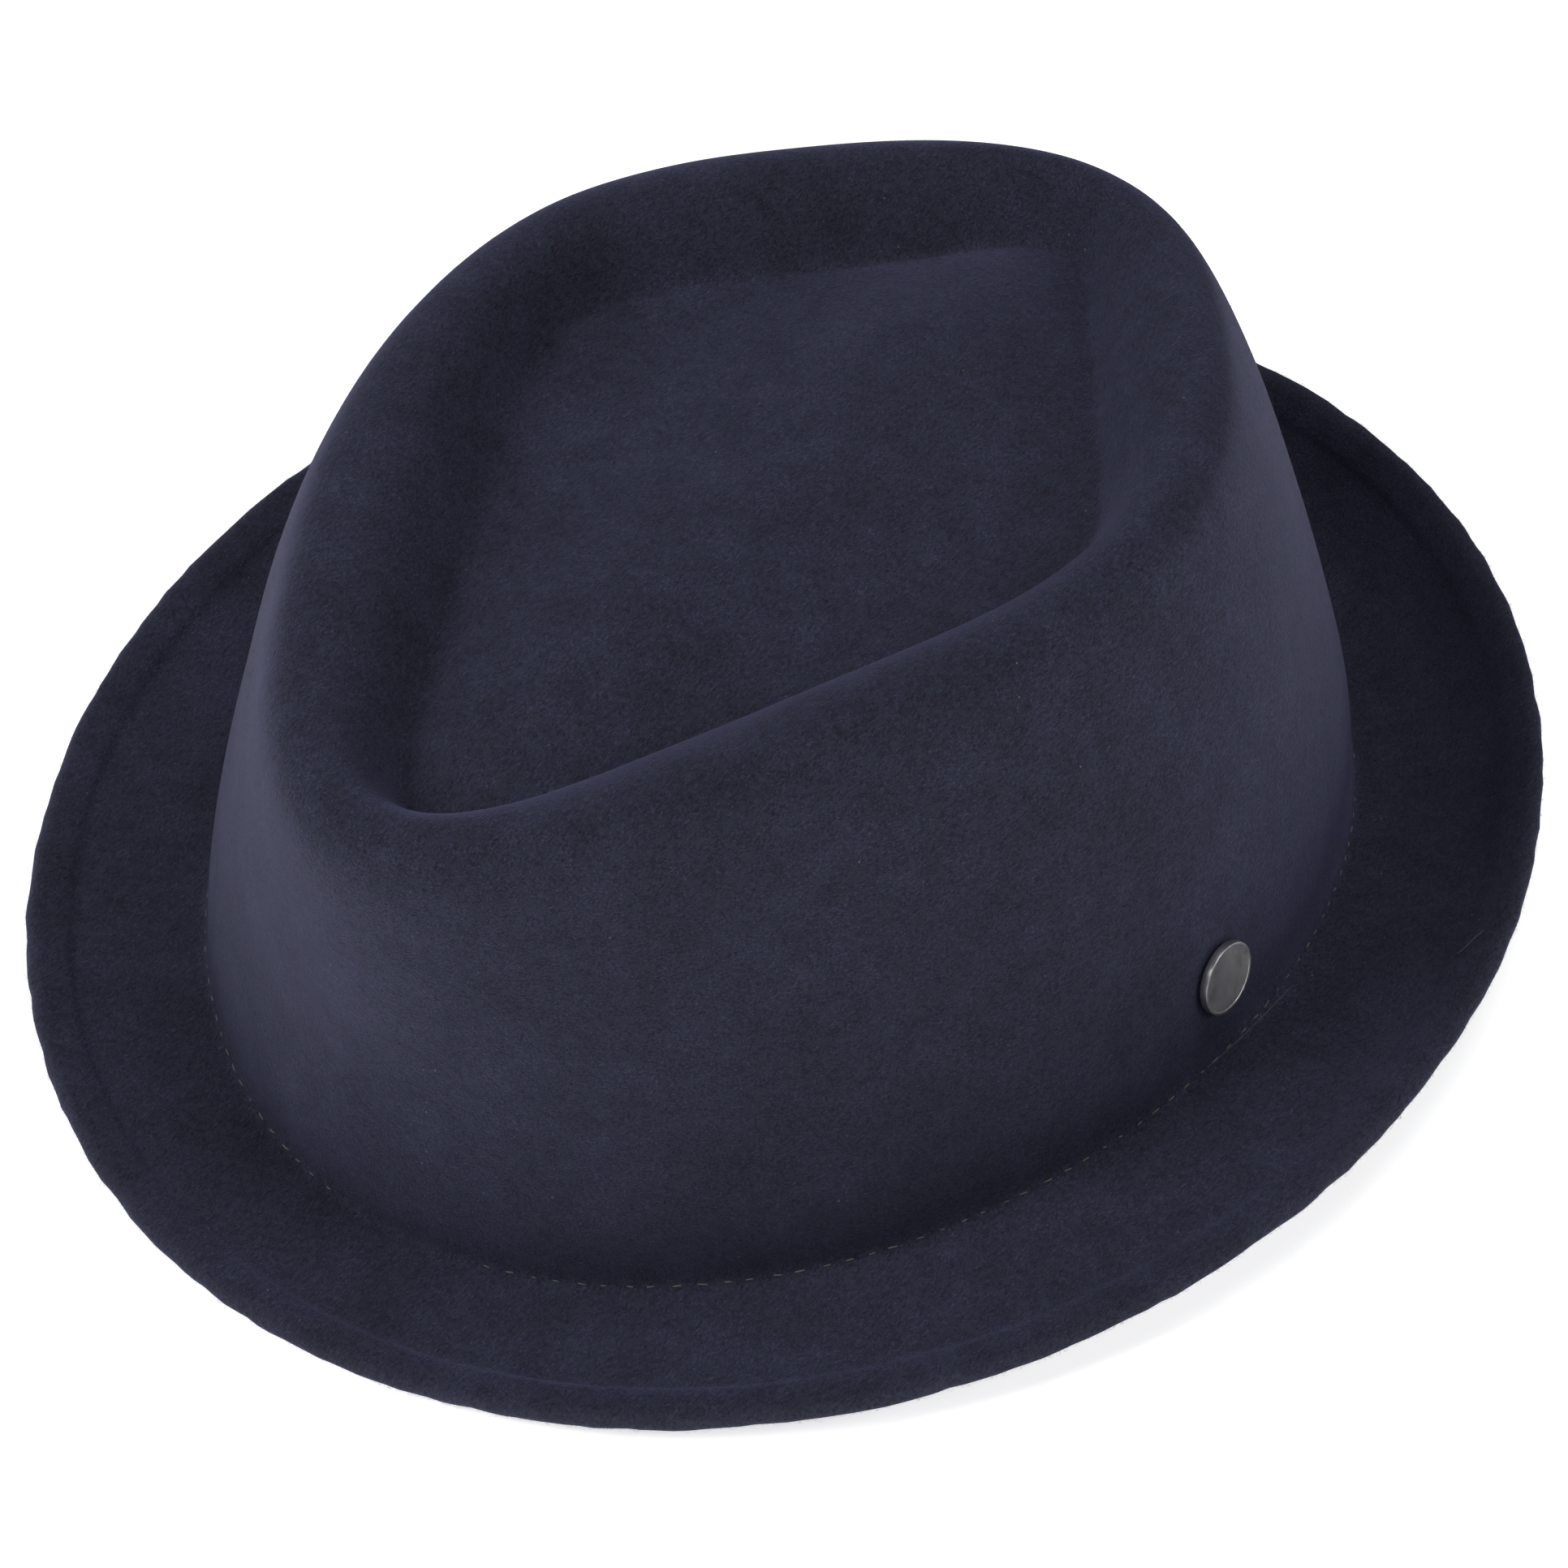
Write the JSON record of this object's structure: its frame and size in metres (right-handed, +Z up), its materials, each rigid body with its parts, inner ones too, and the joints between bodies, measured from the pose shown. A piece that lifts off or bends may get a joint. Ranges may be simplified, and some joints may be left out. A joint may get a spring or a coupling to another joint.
{
  "type": "pork pie hat",
  "caption": "Navy felt pork pie hat with a diamond dent in the crown, an upturned brim with a folded edge, a sweatband inside and a small plain badge.",
  "frame": {"origin": "centre of the bounding box at its lowest plane, on the surface that the hat rests on", "axes": "+Z up, -Y toward the front of the hat, +X toward the wearer's left"},
  "size_m": [0.2294, 0.2564, 0.0908],
  "materials": {
    "felt": "soft navy wool felt",
    "sweatband": "plain black woven band",
    "badge_metal": "satin silver",
    "clutch_metal": "plain"
  },
  "bodies": {
    "root": {"felt_body": "felt", "sweatband": "sweatband", "badge": "badge_metal", "badge_clutch": "clutch_metal"}
  },
  "joints": []
}
